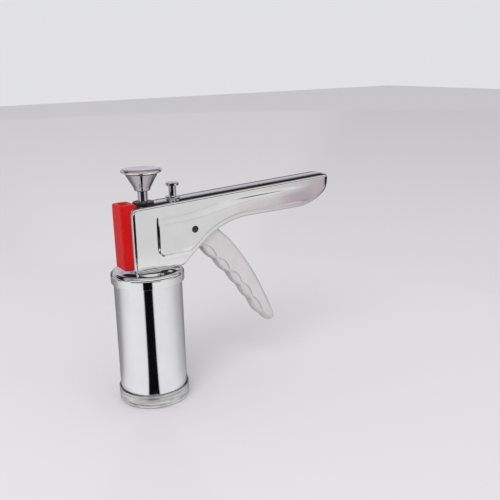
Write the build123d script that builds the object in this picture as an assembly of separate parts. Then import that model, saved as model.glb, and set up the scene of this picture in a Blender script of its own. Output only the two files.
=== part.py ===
from build123d import *
import math
import os

# Lever-operated sevai press, millimetres.  +Z is up along the barrel, the origin is on the barrel
# axis in the plane of the lower ring's foot, and +X points to the end of the handle.

# ---- clearances -------------------------------------------------------------------------------
running_fit = 0.1          # radial play of a shaft in its bore
free_gap = 0.3             # space between neighbouring pieces that move against each other

# ---- barrel, lower ring and die ---------------------------------------------------------------
barrel_outer_d = 54.0
barrel_wall = 1.5
barrel_length = 98.0
ring_wall = 1.2
ring_height = 11.3
ring_lip_width = 3.0       # the lip that carries the die reaches in this far from the barrel's bore
ring_lip_height = 2.2
ring_groove_depth = 0.45
ring_groove_width = 1.2
die_thickness = 2.0
die_hole_d = 2.0
die_hole_pitch = 8.4
die_hole_rings = 2

# ---- cap with its bayonet ---------------------------------------------------------------------
cap_outer_d = 58.0
cap_height = 7.0           # from the edge of the skirt to the shoulder of the cap
cap_plate = 3.5
cap_boss_d = 38.0
cap_boss_rise = 3.2
lug_height = 1.8
lug_reach = 0.8
lug_width = 8.0
lug_play = 0.4
lug_drop = 2.6             # from the top of the barrel to the top of a lug
bayonet_turn = 55.0        # degrees from locked to free

# ---- pressed steel body -----------------------------------------------------------------------
sheet = 1.2
body_width = 24.0
body_front_x = -14.5
body_foot_end_x = 27.8
body_front_height = 50.3   # from the foot of the body to its top face, above the barrel axis
top_slope = 2.4            # degrees that the top face climbs towards the handle end
bend_radius = 2.2
front_corner_radius = 4.5
throat_x = 50.0            # end of the straight run under the body, where the handle curve starts
throat_rise = 18.7
handle_start_x = 88.0
handle_start_rise = 31.2
handle_tail_x = 140.0      # where the lower edge starts to curl up to the end
handle_tail_rise = 31.9
handle_end_x = 173.4
handle_end_flat = 4.0      # upright stretch of the end below its upper corner
handle_end_radius = 2.4
curl_rise = 7.6            # how fast the lower edge turns up at the end
curl_lean = 2.4
curl_pull = 12.0
throat_pull = 7.5
handle_pull = 16.0
lip_slot_margin = 2.6      # width of the curled lip left on each side of the trigger slot
slot_drop = 4.0

# ---- embossed panel on each side --------------------------------------------------------------
panel_front_x = 5.8
panel_end_x = 147.0
panel_foot_rise = 10.8
panel_top_drop = 7.9
panel_edge_inset = 4.6
panel_raise = 0.9
panel_tail_raise = 0.2     # what is left of the raise where the panel ends
panel_corner_radius = 4.0

# ---- front cover ------------------------------------------------------------------------------
cover_foot_depth = 7.6
cover_head_depth = 8.0
cover_half_front = 9.3
cover_half_back = 10.4
cover_wall = 2.0
cover_foot_gap = 2.0
cover_lip_length = 5.2
cover_lip_inset = 1.2
cover_lip_height = 2.4
cover_tongue_height = 26.0
cover_tongue_half = 6.0
cover_tongue_foot = 10.0
cover_tongue_depth = 3.0
cover_pocket_d = 5.0
cover_pocket_depth = 6.0

# ---- plunger ----------------------------------------------------------------------------------
rod_d = 7.6
piston_rest_gap = 1.0      # between the piston and the die when the plunger is right down
piston_side_gap = 0.35
piston_height = 6.0
piston_groove_depth = 1.0
piston_groove_width = 1.6
nut_across_flats = 13.0
nut_height = 4.0
tooth_depth = 1.5
tooth_pitch = 4.0
tooth_count = 27
tooth_first_z = 46.0
plunger_travel = 84.0
knob_neck_length = 8.5
knob_foot_d = 12.6
knob_cone_d = 25.6
knob_rim_d = 31.3
knob_cone_height = 13.4
knob_rim_height = 3.2
knob_dish = 0.9

# ---- rod guides -------------------------------------------------------------------------------
collar_d = 16.8
collar_height = 2.4
collar_spigot_d = 11.0
bush_d = 12.0
bush_flange_d = 18.0
bush_flange_height = 2.0
block_height = 3.0
block_side_gap = 0.1
bush_nut_flats = 17.0
bush_nut_height = 3.0

# ---- trigger ----------------------------------------------------------------------------------
pivot_x = 37.3
pivot_rise = 27.7          # above the foot of the body
pivot_d = 5.2
hub_d = 18.0
hub_half = 8.0
grip_half = 8.0
spacer_d = 11.0
arm_length = 24.0
arm_tip_d = 9.0
arm_angle = 173.0          # degrees from +X, seen from -Y
arm_slot_half = 2.9
arm_slot_length = 13.0
trigger_swing = 38.0       # degrees
grip_edge = [(59.2, 108.9), (71.6, 96.2), (82.6, 82.8), (93.8, 67.3)]   # notches of the grip
grip_start = (46.6, 121.0)
grip_end = (105.5, 50.0)
grip_back_start = (56.5, 140.0)
grip_back_mid = (91.0, 97.4)
grip_tip = (114.8, 46.0)
grip_tip_front = (111.2, 42.8)
bead_notch_depth = 3.6     # from the notch line forward to the floor of a notch
bead_crown_depth = 4.9
bead_crown_half = 8.5      # half width of a bead across the grip
bead_end_scale = 0.8

# ---- drive pawl -------------------------------------------------------------------------------
pawl_half = 2.5
pawl_boss_d = 7.6
pawl_pin_d = 3.0
pawl_nose_drop = 6.2
pawl_nose_height = 2.2
pawl_rod_gap = 0.7         # the nose stands off the tooth crests by this much at rest

# ---- release pin and lock plate ---------------------------------------------------------------
release_x = 25.3
release_stem_d = 5.9
release_head_d = 10.4
release_head_height = 2.2
release_head_gap = 8.4     # from the sleeve's washer up to the head
release_press = 2.5
sleeve_foot_d = 8.2
sleeve_foot_height = 1.3
sleeve_washer_d = 11.5
sleeve_washer_height = 1.4
button_d = 9.0
button_height = 1.4
lock_plate_thickness = 2.5
lock_plate_half = 7.0
lock_hinge_x = -9.0
lock_hinge_rise = 42.2     # above the foot of the body
lock_tail_x = 33.5
lock_corner_radius = 2.0
ledge_height = 3.0
ledge_half = 6.0
seat_x = 30.0
seat_half_length = 5.0
seat_thickness = 1.5
seat_hub_gap = 0.7
spring_wire_d = 0.8
spring_d = 6.4
lock_spring_turns = 3
return_spring_x = 26.5
return_spring_turns = 5

# ---- heights that follow ----------------------------------------------------------------------
barrel_r = barrel_outer_d / 2
bore_r = barrel_r - barrel_wall
die_foot = ring_lip_height
die_top = die_foot + die_thickness
barrel_foot = die_top + free_gap
barrel_top = barrel_foot + barrel_length
cap_under = barrel_top + free_gap
cap_shoulder = cap_under + cap_plate
cap_skirt_foot = cap_shoulder - cap_height
cap_top = cap_shoulder + cap_boss_rise
body_foot = cap_top
half_width = body_width / 2
inner_half = half_width - sheet
rod_r = rod_d / 2
guide_r = rod_r + running_fit
slope = math.tan(math.radians(top_slope))
pivot_z = body_foot + pivot_rise
block_top = body_foot + block_height


def top_at(x):
    """Height of the body's sloping top face at x."""
    return body_foot + body_front_height + slope * x


def disc(radius, z0, z1, x=0.0):
    """Upright cylinder from z0 to z1."""
    return Pos(x, 0, z0) * Cylinder(radius, z1 - z0, align=(Align.CENTER, Align.CENTER, Align.MIN))


def cross_pin(radius, x, z, y0, y1):
    """Cylinder along Y from y0 to y1."""
    face = Plane.XZ * Pos(x, z) * Circle(radius)
    return extrude(face, -(y1 - y0)).moved(Location((0, y0, 0)))


def side_face(lines):
    """Face in the XZ plane from the lines of a closed outline."""
    return Plane.XZ * make_face(lines)


def slab(face, half):
    """Extrude a face of the XZ plane to both sides."""
    return extrude(face, half, both=True)


def box(x0, x1, half_y, z0, z1):
    """Box that is symmetric about the XZ plane."""
    return Pos((x0 + x1) / 2, 0, (z0 + z1) / 2) * Box(x1 - x0, 2 * half_y, z1 - z0)


def coil(x, z0, z1, turns):
    """Compression spring with its axis along Z."""
    height = z1 - z0 - spring_wire_d
    radius = (spring_d - spring_wire_d) / 2
    path = Helix(pitch=height / turns, height=height, radius=radius)
    section = Plane(origin=path @ 0, z_dir=path % 0) * RegularPolygon(spring_wire_d / 2, 4)
    return Pos(x, 0, z0 + spring_wire_d / 2) * sweep(section, path=path, is_frenet=True)


# ---- lower ring, die and barrel ---------------------------------------------------------------
def make_die_ring():
    inner = barrel_r + running_fit
    outer = inner + ring_wall
    lip_bore = bore_r - ring_lip_width
    ring = disc(outer, 0, ring_height) - disc(inner, ring_lip_height, ring_height)
    ring -= disc(lip_bore, 0, ring_lip_height)
    ring = fillet(ring.edges().filter_by(GeomType.CIRCLE).sort_by(Axis.Z)[0:2].sort_by(SortBy.RADIUS)[-1], 0.9)
    for level in (0.36, 0.62, 0.84):
        z = ring_height * level
        groove = disc(outer + 1, z, z + ring_groove_width) - disc(outer - ring_groove_depth, z, z + ring_groove_width)
        ring -= groove
    return ring


def die_holes():
    """Hole centres: one in the middle and rings of six, twelve and so on around it."""
    centres = [(0.0, 0.0)]
    for ring in range(1, die_hole_rings + 1):
        for step in range(6 * ring):
            angle = math.radians(60.0 / ring * step)
            centres.append((ring * die_hole_pitch * math.cos(angle), ring * die_hole_pitch * math.sin(angle)))
    return centres


def make_sevai_die():
    die = disc(barrel_r, die_foot, die_top)
    for x, y in die_holes():
        die -= Pos(x, y, 0) * disc(die_hole_d / 2, die_foot, die_top)
    return die


def make_barrel_tube():
    tube = disc(barrel_r, barrel_foot, barrel_top) - disc(bore_r, barrel_foot, barrel_top)
    lug_top = barrel_top - lug_drop
    lug = Pos(0, 0, lug_top - lug_height / 2) * Box(2 * (barrel_r + lug_reach), lug_width, lug_height)
    lug = lug & disc(barrel_r + lug_reach, lug_top - lug_height, lug_top)
    lug -= disc(bore_r + barrel_wall / 2, lug_top - lug_height, lug_top)
    return tube + lug


# ---- cap --------------------------------------------------------------------------------------
def bayonet_sector(inner, outer, z0, z1, start, end):
    """Sector of a ring between two angles in degrees."""
    reach = outer / math.cos(math.radians((end - start) / 2)) + 1
    first = (reach * math.cos(math.radians(start)), reach * math.sin(math.radians(start)))
    last = (reach * math.cos(math.radians(end)), reach * math.sin(math.radians(end)))
    wedge = extrude(make_face(Polyline((0, 0), first, last, close=True)), z1 - z0)
    wedge = wedge.moved(Location((0, 0, z0)))
    return (disc(outer, z0, z1) - disc(inner, z0, z1)) & wedge


def make_barrel_cap():
    outer = cap_outer_d / 2
    socket = barrel_r + running_fit
    shoulder = outer - 1.6
    boss = cap_boss_d / 2
    top_edge = Polyline((0, cap_under), (0, cap_top), (boss - 1.5, cap_top))
    rise = Bezier((boss - 1.5, cap_top), (boss + 1.5, cap_top), (boss + 1.5, cap_shoulder + 0.3),
                  (boss + 5.0, cap_shoulder))
    rim = Line((boss + 5.0, cap_shoulder), (shoulder, cap_shoulder))
    edge = RadiusArc((shoulder, cap_shoulder), (outer, cap_shoulder - 1.6), 1.6)
    skirt = Polyline((outer, cap_shoulder - 1.6), (outer, cap_skirt_foot), (socket, cap_skirt_foot),
                     (socket, cap_under), (0, cap_under))
    profile = Plane.XZ * make_face([top_edge, rise, rim, edge, skirt])
    cap = revolve(profile, Axis.Z)
    cap -= disc(bush_d / 2, cap_under, cap_top)
    lug_angle = math.degrees(lug_width / barrel_r)
    slot_outer = barrel_r + lug_reach + lug_play
    slot_foot = barrel_top - lug_drop - lug_height - lug_play
    slot_top = barrel_top - lug_drop + lug_play
    for turn in (0, 180):
        first = turn - bayonet_turn - lug_angle / 2 - 2
        gate_end = first + lug_angle + 4
        last = turn + lug_angle / 2 + 1
        cap -= bayonet_sector(socket, slot_outer, slot_foot, slot_top, first, last)
        cap -= bayonet_sector(socket, slot_outer, cap_skirt_foot, slot_top, first, gate_end)
    return cap


# ---- pressed body -----------------------------------------------------------------------------
def body_outline(inset, foot_drop, rounded=True):
    """Side outline of the body, set in by `inset` all round except at its open foot."""
    foot = body_foot - foot_drop
    run = throat_rise / (throat_x - body_foot_end_x)
    lean = inset * math.sqrt(1 + run * run) / run
    start = (body_front_x + inset, foot)
    heel = (body_foot_end_x - lean - foot_drop / run, foot)
    along = Vector(1, run).normalized()
    throat = Vector(throat_x, body_foot + throat_rise) + Vector(-along.Y, along.X) * inset
    grip = Vector(handle_start_x, body_foot + handle_start_rise + inset)
    tail = Vector(handle_tail_x, body_foot + handle_tail_rise + inset)
    level = (tail - grip).normalized()
    end_x = handle_end_x - inset
    top_inset = inset / math.cos(math.radians(top_slope))
    end = Vector(end_x, top_at(end_x) - top_inset)
    head = Vector(body_front_x + inset, top_at(body_front_x + inset) - top_inset)
    end_low = end - Vector(0, handle_end_flat)
    curl = Vector(end_x - curl_lean, tail.Y + curl_rise)
    lines = [
        Line(start, heel),
        Line(heel, throat),
        Bezier(throat, throat + along * throat_pull, grip - level * handle_pull, grip),
        Line(grip, tail),
        Bezier(tail, tail + level * curl_pull, curl, end_low),
        Polyline(end_low, end, head, start),
    ]
    face = make_face(lines)
    if not rounded:
        return face
    corners = face.vertices().filter_by(lambda v: (v.center() - head).length < 0.01)
    face = fillet(corners, front_corner_radius - inset)
    corners = face.vertices().filter_by(lambda v: (v.center() - end).length < 0.01)
    return fillet(corners, handle_end_radius - inset)


def rounded_slab(face, half, radius, foot):
    """Extrude the outline and round every side edge except those of its foot."""
    solid = slab(Plane.XZ * face, half)
    sides = [e for e in solid.edges() if abs(abs(e.center().Y) - half) < 0.01]
    sides = [e for e in sides if e.center().Z > foot + 0.01]
    return fillet(sides, radius)


def panel_face(shrink):
    """Embossed panel: the body's outline set in, kept between its front, foot and top lines."""
    low = body_foot + panel_foot_rise + shrink
    front = panel_front_x + shrink
    end = panel_end_x - shrink
    window = make_face(Polyline(
        (front, low), (end, low), (end, top_at(end) - panel_top_drop - shrink),
        (front, top_at(front) - panel_top_drop - shrink), close=True))
    face = (body_outline(panel_edge_inset + shrink, 0, rounded=False) & window).face()
    ends = face.vertices().filter_by(lambda v: v.X < front + 0.01 or v.X > end - 0.01)
    return fillet(ends, panel_corner_radius - shrink)


def panel_slab(face, half):
    """Panel proud of the side plates, dying away towards the handle end."""
    fall = (panel_raise - panel_tail_raise) / (panel_end_x - panel_front_x)
    start = panel_front_x - 10
    end = panel_end_x + 10
    y0 = half + panel_raise + 10 * fall
    y1 = half + panel_tail_raise - 10 * fall
    plan = make_face(Polyline((start, -y0), (end, -y1), (end, y1), (start, y0), close=True))
    wedge = extrude(plan, 120).moved(Location((0, 0, body_foot)))
    return slab(Plane.XZ * face, half + panel_raise + 5) & wedge


def make_body_shell():
    shell = rounded_slab(body_outline(0, 0), half_width, bend_radius, body_foot)
    shell += panel_slab(panel_face(0), half_width)
    hollow = rounded_slab(body_outline(sheet, 3 * sheet), inner_half, bend_radius - sheet, body_foot)
    shell -= hollow
    shell -= panel_slab(panel_face(sheet), inner_half)
    slot = slab(Plane.XZ * body_outline(sheet, slot_drop), half_width - lip_slot_margin)
    shell -= slot.moved(Location((0, 0, -slot_drop))) & box(body_foot_end_x - 2, handle_end_x, half_width,
                                                            0, body_foot + handle_tail_rise + 12)
    shell -= cross_pin(pivot_d / 2, pivot_x, pivot_z, -half_width - 2, half_width + 2)
    shell -= disc(collar_spigot_d / 2, top_at(0) - 8, top_at(0) + 8)
    shell -= disc(sleeve_foot_d / 2, top_at(release_x) - 8, top_at(release_x) + 8, release_x)
    tongue_z = body_foot + cover_tongue_foot
    shell -= box(body_front_x - 1, body_front_x + sheet + 0.5, cover_tongue_half, tongue_z,
                 tongue_z + cover_tongue_height)
    return shell


def body_envelope():
    return rounded_slab(body_outline(0, 0), half_width, bend_radius, body_foot)


# ---- front cover ------------------------------------------------------------------------------
def cover_plan(depth, wall):
    back = body_front_x
    front = back - depth + wall
    return Polyline((back, -cover_half_back + wall), (front, -cover_half_front + wall),
                    (front, cover_half_front - wall), (back, cover_half_back - wall), close=True)


def cover_loft(z0, z1, wall):
    low = Pos(0, 0, z0) * make_face(cover_plan(cover_foot_depth, wall))
    high = Pos(0, 0, z1) * make_face(cover_plan(cover_head_depth, wall))
    return loft([low, high])


def make_front_cover(envelope):
    foot = body_foot + cover_foot_gap
    head = top_at(0) + cover_lip_height
    cover = cover_loft(foot, head, 0)
    ridges = [e for e in cover.edges() if e.length > 30 and e.center().X < body_front_x - 2]
    cover = fillet(ridges, 1.6)
    rim = cover.faces().sort_by(Axis.Z)[-1].edges().filter_by(lambda e: e.center().X < body_front_x - 0.1)
    cover = fillet(rim, 1.2)
    lip = box(body_front_x, body_front_x + cover_lip_length, cover_half_back - cover_lip_inset, top_at(0) - 12, head)
    lip = fillet(lip.edges().filter_by(Axis.Y).sort_by(Axis.X)[-2:].sort_by(Axis.Z)[-1], 1.4)
    cover += lip - envelope
    cover -= cover_loft(foot + cover_wall, head - cover_pocket_depth - cover_wall, cover_wall)
    tongue_z = body_foot + cover_tongue_foot
    tongue = box(body_front_x - cover_foot_depth + cover_wall / 2, body_front_x + cover_tongue_depth,
                 cover_tongue_half - 0.1, tongue_z + 0.1, tongue_z + cover_tongue_height - 0.1)
    tongue -= box(body_front_x - 20, body_front_x + 20, cover_tongue_half - 2.2, tongue_z + 2.2,
                  tongue_z + cover_tongue_height - 2.2)
    cover += tongue
    pocket_x = body_front_x - cover_head_depth / 2 + 0.6
    cover -= disc(cover_pocket_d / 2, head - cover_pocket_depth, head + 1, pocket_x)
    return cover


# ---- plunger ----------------------------------------------------------------------------------
piston_foot = die_top + free_gap + piston_rest_gap
piston_top = piston_foot + piston_height
collar_top = top_at(0) + collar_height
knob_foot = collar_top + knob_neck_length


def make_plunger_rod():
    rod = disc(rod_r, piston_foot + 1.5, knob_foot + knob_cone_height / 2)
    for index in range(tooth_count):
        z = tooth_first_z + index * tooth_pitch
        notch = side_face(Polyline((rod_r - tooth_depth, z), (rod_r + 1, z),
                                   (rod_r + 1, z + tooth_pitch * 0.9), close=True))
        rod -= slab(notch, rod_r)
    return rod


def make_plunger_knob():
    cone_top = knob_foot + knob_cone_height
    rim_top = cone_top + knob_rim_height
    rim_r = knob_rim_d / 2
    foot_r = knob_foot_d / 2
    cone_r = knob_cone_d / 2
    lower = Polyline((0, knob_foot), (rod_r + 0.3, knob_foot), (foot_r - 1.2, knob_foot + 0.5))
    corner = ThreePointArc((foot_r - 1.2, knob_foot + 0.5), (foot_r - 0.2, knob_foot + 1.1), (foot_r, knob_foot + 2.2))
    flank = Line((foot_r, knob_foot + 2.2), (cone_r, cone_top))
    flare = ThreePointArc((cone_r, cone_top), (cone_r + 0.9, cone_top + 1.3), (rim_r, cone_top + 1.8))
    edge = ThreePointArc((rim_r, cone_top + 1.8), (rim_r + 0.25, cone_top + 2.5), (rim_r - 0.7, rim_top))
    dish = TangentArc((0, rim_top - knob_dish), (rim_r - 0.7, rim_top), tangent=(1, 0))
    knob = revolve(Plane.XZ * make_face([lower, corner, flank, flare, edge, dish,
                                         Line((0, rim_top - knob_dish), (0, knob_foot))]), Axis.Z)
    return knob - disc(rod_r, knob_foot - 1, knob_foot + knob_cone_height / 2)


def make_piston():
    outer = bore_r - piston_side_gap
    piston = disc(outer, piston_foot, piston_top)
    piston = chamfer(piston.edges().filter_by(GeomType.CIRCLE), 0.6)
    middle = (piston_foot + piston_top) / 2
    groove = disc(outer + 1, middle - piston_groove_width / 2, middle + piston_groove_width / 2)
    groove -= disc(outer - piston_groove_depth, middle - piston_groove_width / 2, middle + piston_groove_width / 2)
    return piston - groove - disc(rod_r, piston_foot + 1.5, piston_top)


def hex_nut(flats, bore, z0, height):
    body = extrude(RegularPolygon(flats / 2, 6, major_radius=False), height).moved(Location((0, 0, z0)))
    body = body & chamfer(disc(flats / math.sqrt(3), z0, z0 + height).edges().filter_by(GeomType.CIRCLE), 0.7)
    return body - disc(bore, z0, z0 + height)


# ---- rod guides -------------------------------------------------------------------------------
def make_top_collar(envelope):
    flange = disc(collar_d / 2, top_at(0) - 4, collar_top)
    flange = fillet(flange.edges().filter_by(GeomType.CIRCLE).sort_by(Axis.Z)[-1], 0.8) - envelope
    spigot = disc(collar_spigot_d / 2, top_at(0) - sheet - 1.2, top_at(0) + 1.5)
    return flange + spigot - disc(guide_r, top_at(0) - 10, collar_top + 1)


def make_mount_block():
    block = box(body_front_x + sheet + block_side_gap, body_foot_end_x - 6, inner_half - block_side_gap,
                body_foot, block_top)
    block = fillet(block.edges().filter_by(Axis.Z), bend_radius - sheet + block_side_gap)
    return block - disc(bush_d / 2, body_foot, block_top)


def make_lower_bush():
    flange = disc(bush_flange_d / 2, cap_under - bush_flange_height, cap_under)
    flange = chamfer(flange.edges().filter_by(GeomType.CIRCLE).sort_by(Axis.Z)[0], 0.5)
    stem = disc(bush_d / 2, cap_under, block_top + bush_nut_height + 1)
    return flange + stem - disc(guide_r, cap_under - 10, block_top + 20)


# ---- trigger ----------------------------------------------------------------------------------
def swing_point(length, degrees):
    angle = math.radians(degrees)
    return (pivot_x + length * math.cos(angle), pivot_z + length * math.sin(angle))


def arm_under(x):
    """Height of the trigger arm's lower edge at x, between the hub and the tip."""
    hub_edge = swing_point(hub_d / 2, arm_angle + 90)
    tip = swing_point(arm_length, arm_angle)
    drop = Vector(hub_edge[0] - pivot_x, hub_edge[1] - pivot_z).normalized() * (arm_tip_d / 2)
    tip_edge = (tip[0] + drop.X, tip[1] + drop.Y)
    share = (x - tip_edge[0]) / (hub_edge[0] - tip_edge[0])
    return tip_edge[1] + (hub_edge[1] - tip_edge[1]) * share


def grip_notches():
    return [grip_start] + grip_edge + [grip_end]


def make_bead(first, last, crown, first_depth, last_depth):
    """One finger bead: turned about the line from notch to notch, then widened across the grip."""
    a = Vector(first[0], 0, first[1])
    b = Vector(last[0], 0, last[1])
    along = (b - a).normalized()
    front = Vector(along.Z, 0, -along.X)
    start = a + front * first_depth
    end = b + front * last_depth
    middle = a + (b - a) * 0.45 + front * crown
    profile = make_face([Line(a, start), ThreePointArc(start, middle, end), Line(end, b), Line(b, a)])
    bead = revolve(profile, Axis(a, b - a))
    return scale(bead, (1, bead_crown_half / bead_crown_depth, 1))


def make_trigger_lever():
    hub = cross_pin(hub_d / 2, pivot_x, pivot_z, -hub_half, hub_half)
    tip = swing_point(arm_length, arm_angle)
    arm = cross_pin(arm_tip_d / 2, tip[0], tip[1], -hub_half, hub_half)
    over = swing_point(hub_d / 2, arm_angle - 90)
    under = swing_point(hub_d / 2, arm_angle + 90)
    lift = Vector(over[0] - pivot_x, over[1] - pivot_z).normalized() * (arm_tip_d / 2)
    web = side_face(Polyline(over, (tip[0] + lift.X, tip[1] + lift.Y), (tip[0] - lift.X, tip[1] - lift.Y),
                             under, close=True))
    back = ThreePointArc(grip_back_start, grip_back_mid, grip_tip)
    nose = ThreePointArc(grip_tip, (grip_tip[0] - 0.8, grip_tip[1] - 2.6), grip_tip_front)
    neck_top = (pivot_x + 2.0, pivot_z + hub_d / 2 - 0.6)
    neck_low = (pivot_x - 6.0, pivot_z - hub_d / 2 + 2.5)
    front = Polyline(grip_tip_front, grip_end, *reversed(grip_edge), grip_start, neck_low, neck_top,
                     grip_back_start)
    blade = slab(side_face([back, nose, front]), grip_half)
    rear = [e for e in blade.edges() if abs(abs(e.center().Y) - grip_half) < 0.01 and e.length > 80]
    blade = fillet(rear, 2.5)
    lever = hub + arm + slab(web, hub_half) + blade
    notches = grip_notches()
    for index in range(len(notches) - 1):
        last = index == len(notches) - 2
        crown = bead_crown_depth * (bead_end_scale if last else 1.0)
        last_depth = bead_notch_depth * (0.5 if last else 1.0)
        lever += make_bead(notches[index], notches[index + 1], crown, bead_notch_depth, last_depth)
    slot_end = swing_point(arm_length - arm_slot_length, arm_angle)
    slot_start = swing_point(arm_length + arm_tip_d, arm_angle)
    up = Vector(slot_end[0] - pivot_x, slot_end[1] - pivot_z).normalized()
    up = Vector(-up.Y, up.X) * 12
    slot = side_face(Polyline((slot_end[0] + up.X, slot_end[1] + up.Y), (slot_start[0] + up.X, slot_start[1] + up.Y),
                              (slot_start[0] - up.X, slot_start[1] - up.Y), (slot_end[0] - up.X, slot_end[1] - up.Y),
                              close=True))
    lever -= slab(slot, arm_slot_half)
    lever -= cross_pin(pivot_d / 2 + running_fit, pivot_x, pivot_z, -20, 20)
    lever -= cross_pin(pawl_pin_d / 2, tip[0], tip[1], -20, 20)
    return lever


def make_drive_pawl():
    x, z = swing_point(arm_length, arm_angle)
    nose_x = rod_r + pawl_rod_gap
    boss = cross_pin(pawl_boss_d / 2, x, z, -pawl_half, pawl_half)
    low = z - pawl_nose_drop
    blade = side_face(Polyline((x + 1.5, z + pawl_boss_d / 2 - 0.4), (x + 3.2, z - 2.0), (nose_x + 2.0, low - 1.0),
                               (nose_x, low), (nose_x, low + pawl_nose_height), (x - 3.0, z + 2.2), close=True))
    pawl = boss + slab(blade, pawl_half)
    return pawl - cross_pin(pawl_pin_d / 2 + running_fit, x, z, -20, 20)


def make_spacer(side):
    outer = max(side * hub_half, side * inner_half)
    inner = min(side * hub_half, side * inner_half)
    if side > 0:
        inner += free_gap
    else:
        outer -= free_gap
    ring = cross_pin(spacer_d / 2, pivot_x, pivot_z, inner, outer)
    return ring - cross_pin(pivot_d / 2, pivot_x, pivot_z, -20, 20)


# ---- release pin, lock plate and springs ------------------------------------------------------
sleeve_base = top_at(release_x)
sleeve_top = sleeve_base + sleeve_foot_height + sleeve_washer_height
lock_z = body_foot + lock_hinge_rise
lock_tilt = math.degrees(release_press / (release_x - lock_hinge_x))
lock_rest_rise = math.tan(math.radians(lock_tilt))


def lock_under(x):
    """Height of the lock plate's lower face at x, at rest."""
    return lock_z + (x - lock_hinge_x) * lock_rest_rise - lock_plate_thickness / 2 - 0.02


def make_release_sleeve(envelope):
    foot = disc(sleeve_foot_d / 2, sleeve_base - 2, sleeve_base + sleeve_foot_height, release_x)
    foot = foot - envelope
    spigot = disc(sleeve_foot_d / 2, sleeve_base - sheet - 0.2, sleeve_base + 1, release_x)
    washer = disc(sleeve_washer_d / 2, sleeve_base + sleeve_foot_height, sleeve_top, release_x)
    washer = chamfer(washer.edges().filter_by(GeomType.CIRCLE), 0.4)
    return foot + spigot + washer - disc(release_stem_d / 2 + running_fit, sleeve_base - 10, sleeve_top + 1, release_x)


def make_release_pin():
    head_foot = sleeve_top + release_head_gap
    button_foot = lock_z + (release_x - lock_hinge_x) * lock_rest_rise + lock_plate_thickness / 2 + 0.2 + free_gap
    stem = disc(release_stem_d / 2, button_foot, head_foot, release_x)
    head = disc(release_head_d / 2, head_foot, head_foot + release_head_height, release_x)
    head = chamfer(head.edges().filter_by(GeomType.CIRCLE), 0.4)
    button = disc(button_d / 2, button_foot, button_foot + button_height, release_x)
    button = chamfer(button.edges().filter_by(GeomType.CIRCLE).sort_by(Axis.Z)[0], 0.4)
    return stem + head + button


def make_lock_plate():
    half = lock_plate_thickness / 2
    plate = box(0, lock_tail_x - lock_hinge_x, lock_plate_half, -half, half)
    plate = fillet(plate.edges().filter_by(Axis.Z).sort_by(Axis.X)[-2:], lock_corner_radius)
    plate += cross_pin(half, 0, 0, -lock_plate_half, lock_plate_half)
    plate = plate.rotate(Axis.Y, -lock_tilt).moved(Location((lock_hinge_x, 0, lock_z)))
    return plate - disc(rod_r + free_gap + running_fit, lock_z - 10, lock_z + 10)


def make_lock_ledge():
    top = lock_z - lock_plate_thickness / 2 - free_gap
    ledge = box(body_front_x + sheet, lock_hinge_x + 1.5, ledge_half, top - ledge_height, top)
    return fillet(ledge.edges().filter_by(Axis.Y).sort_by(Axis.X)[-2:], 0.8)


def make_spring_seat():
    foot = pivot_z + hub_d / 2 + seat_hub_gap
    seat = box(seat_x - seat_half_length, seat_x + seat_half_length, inner_half, foot, foot + seat_thickness)
    return seat


# ---- build and write ---------------------------------------------------------------------------
def build_parts():
    envelope = body_envelope()
    seat_top = pivot_z + hub_d / 2 + seat_hub_gap + seat_thickness
    tip = swing_point(arm_length, arm_angle)
    spring_top = arm_under(return_spring_x + spring_d / 2) - free_gap
    parts = {
        "die_ring": make_die_ring(),
        "sevai_die": make_sevai_die(),
        "barrel_tube": make_barrel_tube(),
        "barrel_cap": make_barrel_cap(),
        "body_shell": make_body_shell(),
        "front_cover": make_front_cover(envelope),
        "top_collar": make_top_collar(envelope),
        "mount_block": make_mount_block(),
        "lower_bush": make_lower_bush(),
        "bush_nut": hex_nut(bush_nut_flats, bush_d / 2, block_top, bush_nut_height),
        "plunger_rod": make_plunger_rod(),
        "plunger_knob": make_plunger_knob(),
        "piston_disc": make_piston(),
        "piston_nut": hex_nut(nut_across_flats, rod_r, piston_top, nut_height),
        "trigger_lever": make_trigger_lever(),
        "pivot_pin": cross_pin(pivot_d / 2, pivot_x, pivot_z, -half_width - 0.8, half_width + 0.8),
        "pivot_spacer_near": make_spacer(-1),
        "pivot_spacer_far": make_spacer(1),
        "drive_pawl": make_drive_pawl(),
        "pawl_pin": cross_pin(pawl_pin_d / 2, tip[0], tip[1], -hub_half, hub_half),
        "release_pin": make_release_pin(),
        "release_sleeve": make_release_sleeve(envelope),
        "lock_plate": make_lock_plate(),
        "lock_ledge": make_lock_ledge(),
        "spring_seat": make_spring_seat(),
        "lock_spring": coil(seat_x, seat_top, lock_under(seat_x - spring_d / 2), lock_spring_turns),
        "return_spring": coil(return_spring_x, block_top, spring_top, return_spring_turns),
    }
    return parts


os.makedirs("parts", exist_ok=True)
for name, solid in build_parts().items():
    export_step(solid, f"parts/{name}.step")
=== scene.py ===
import math

import bpy
import numpy as np
from mathutils import Matrix, Vector


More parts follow.
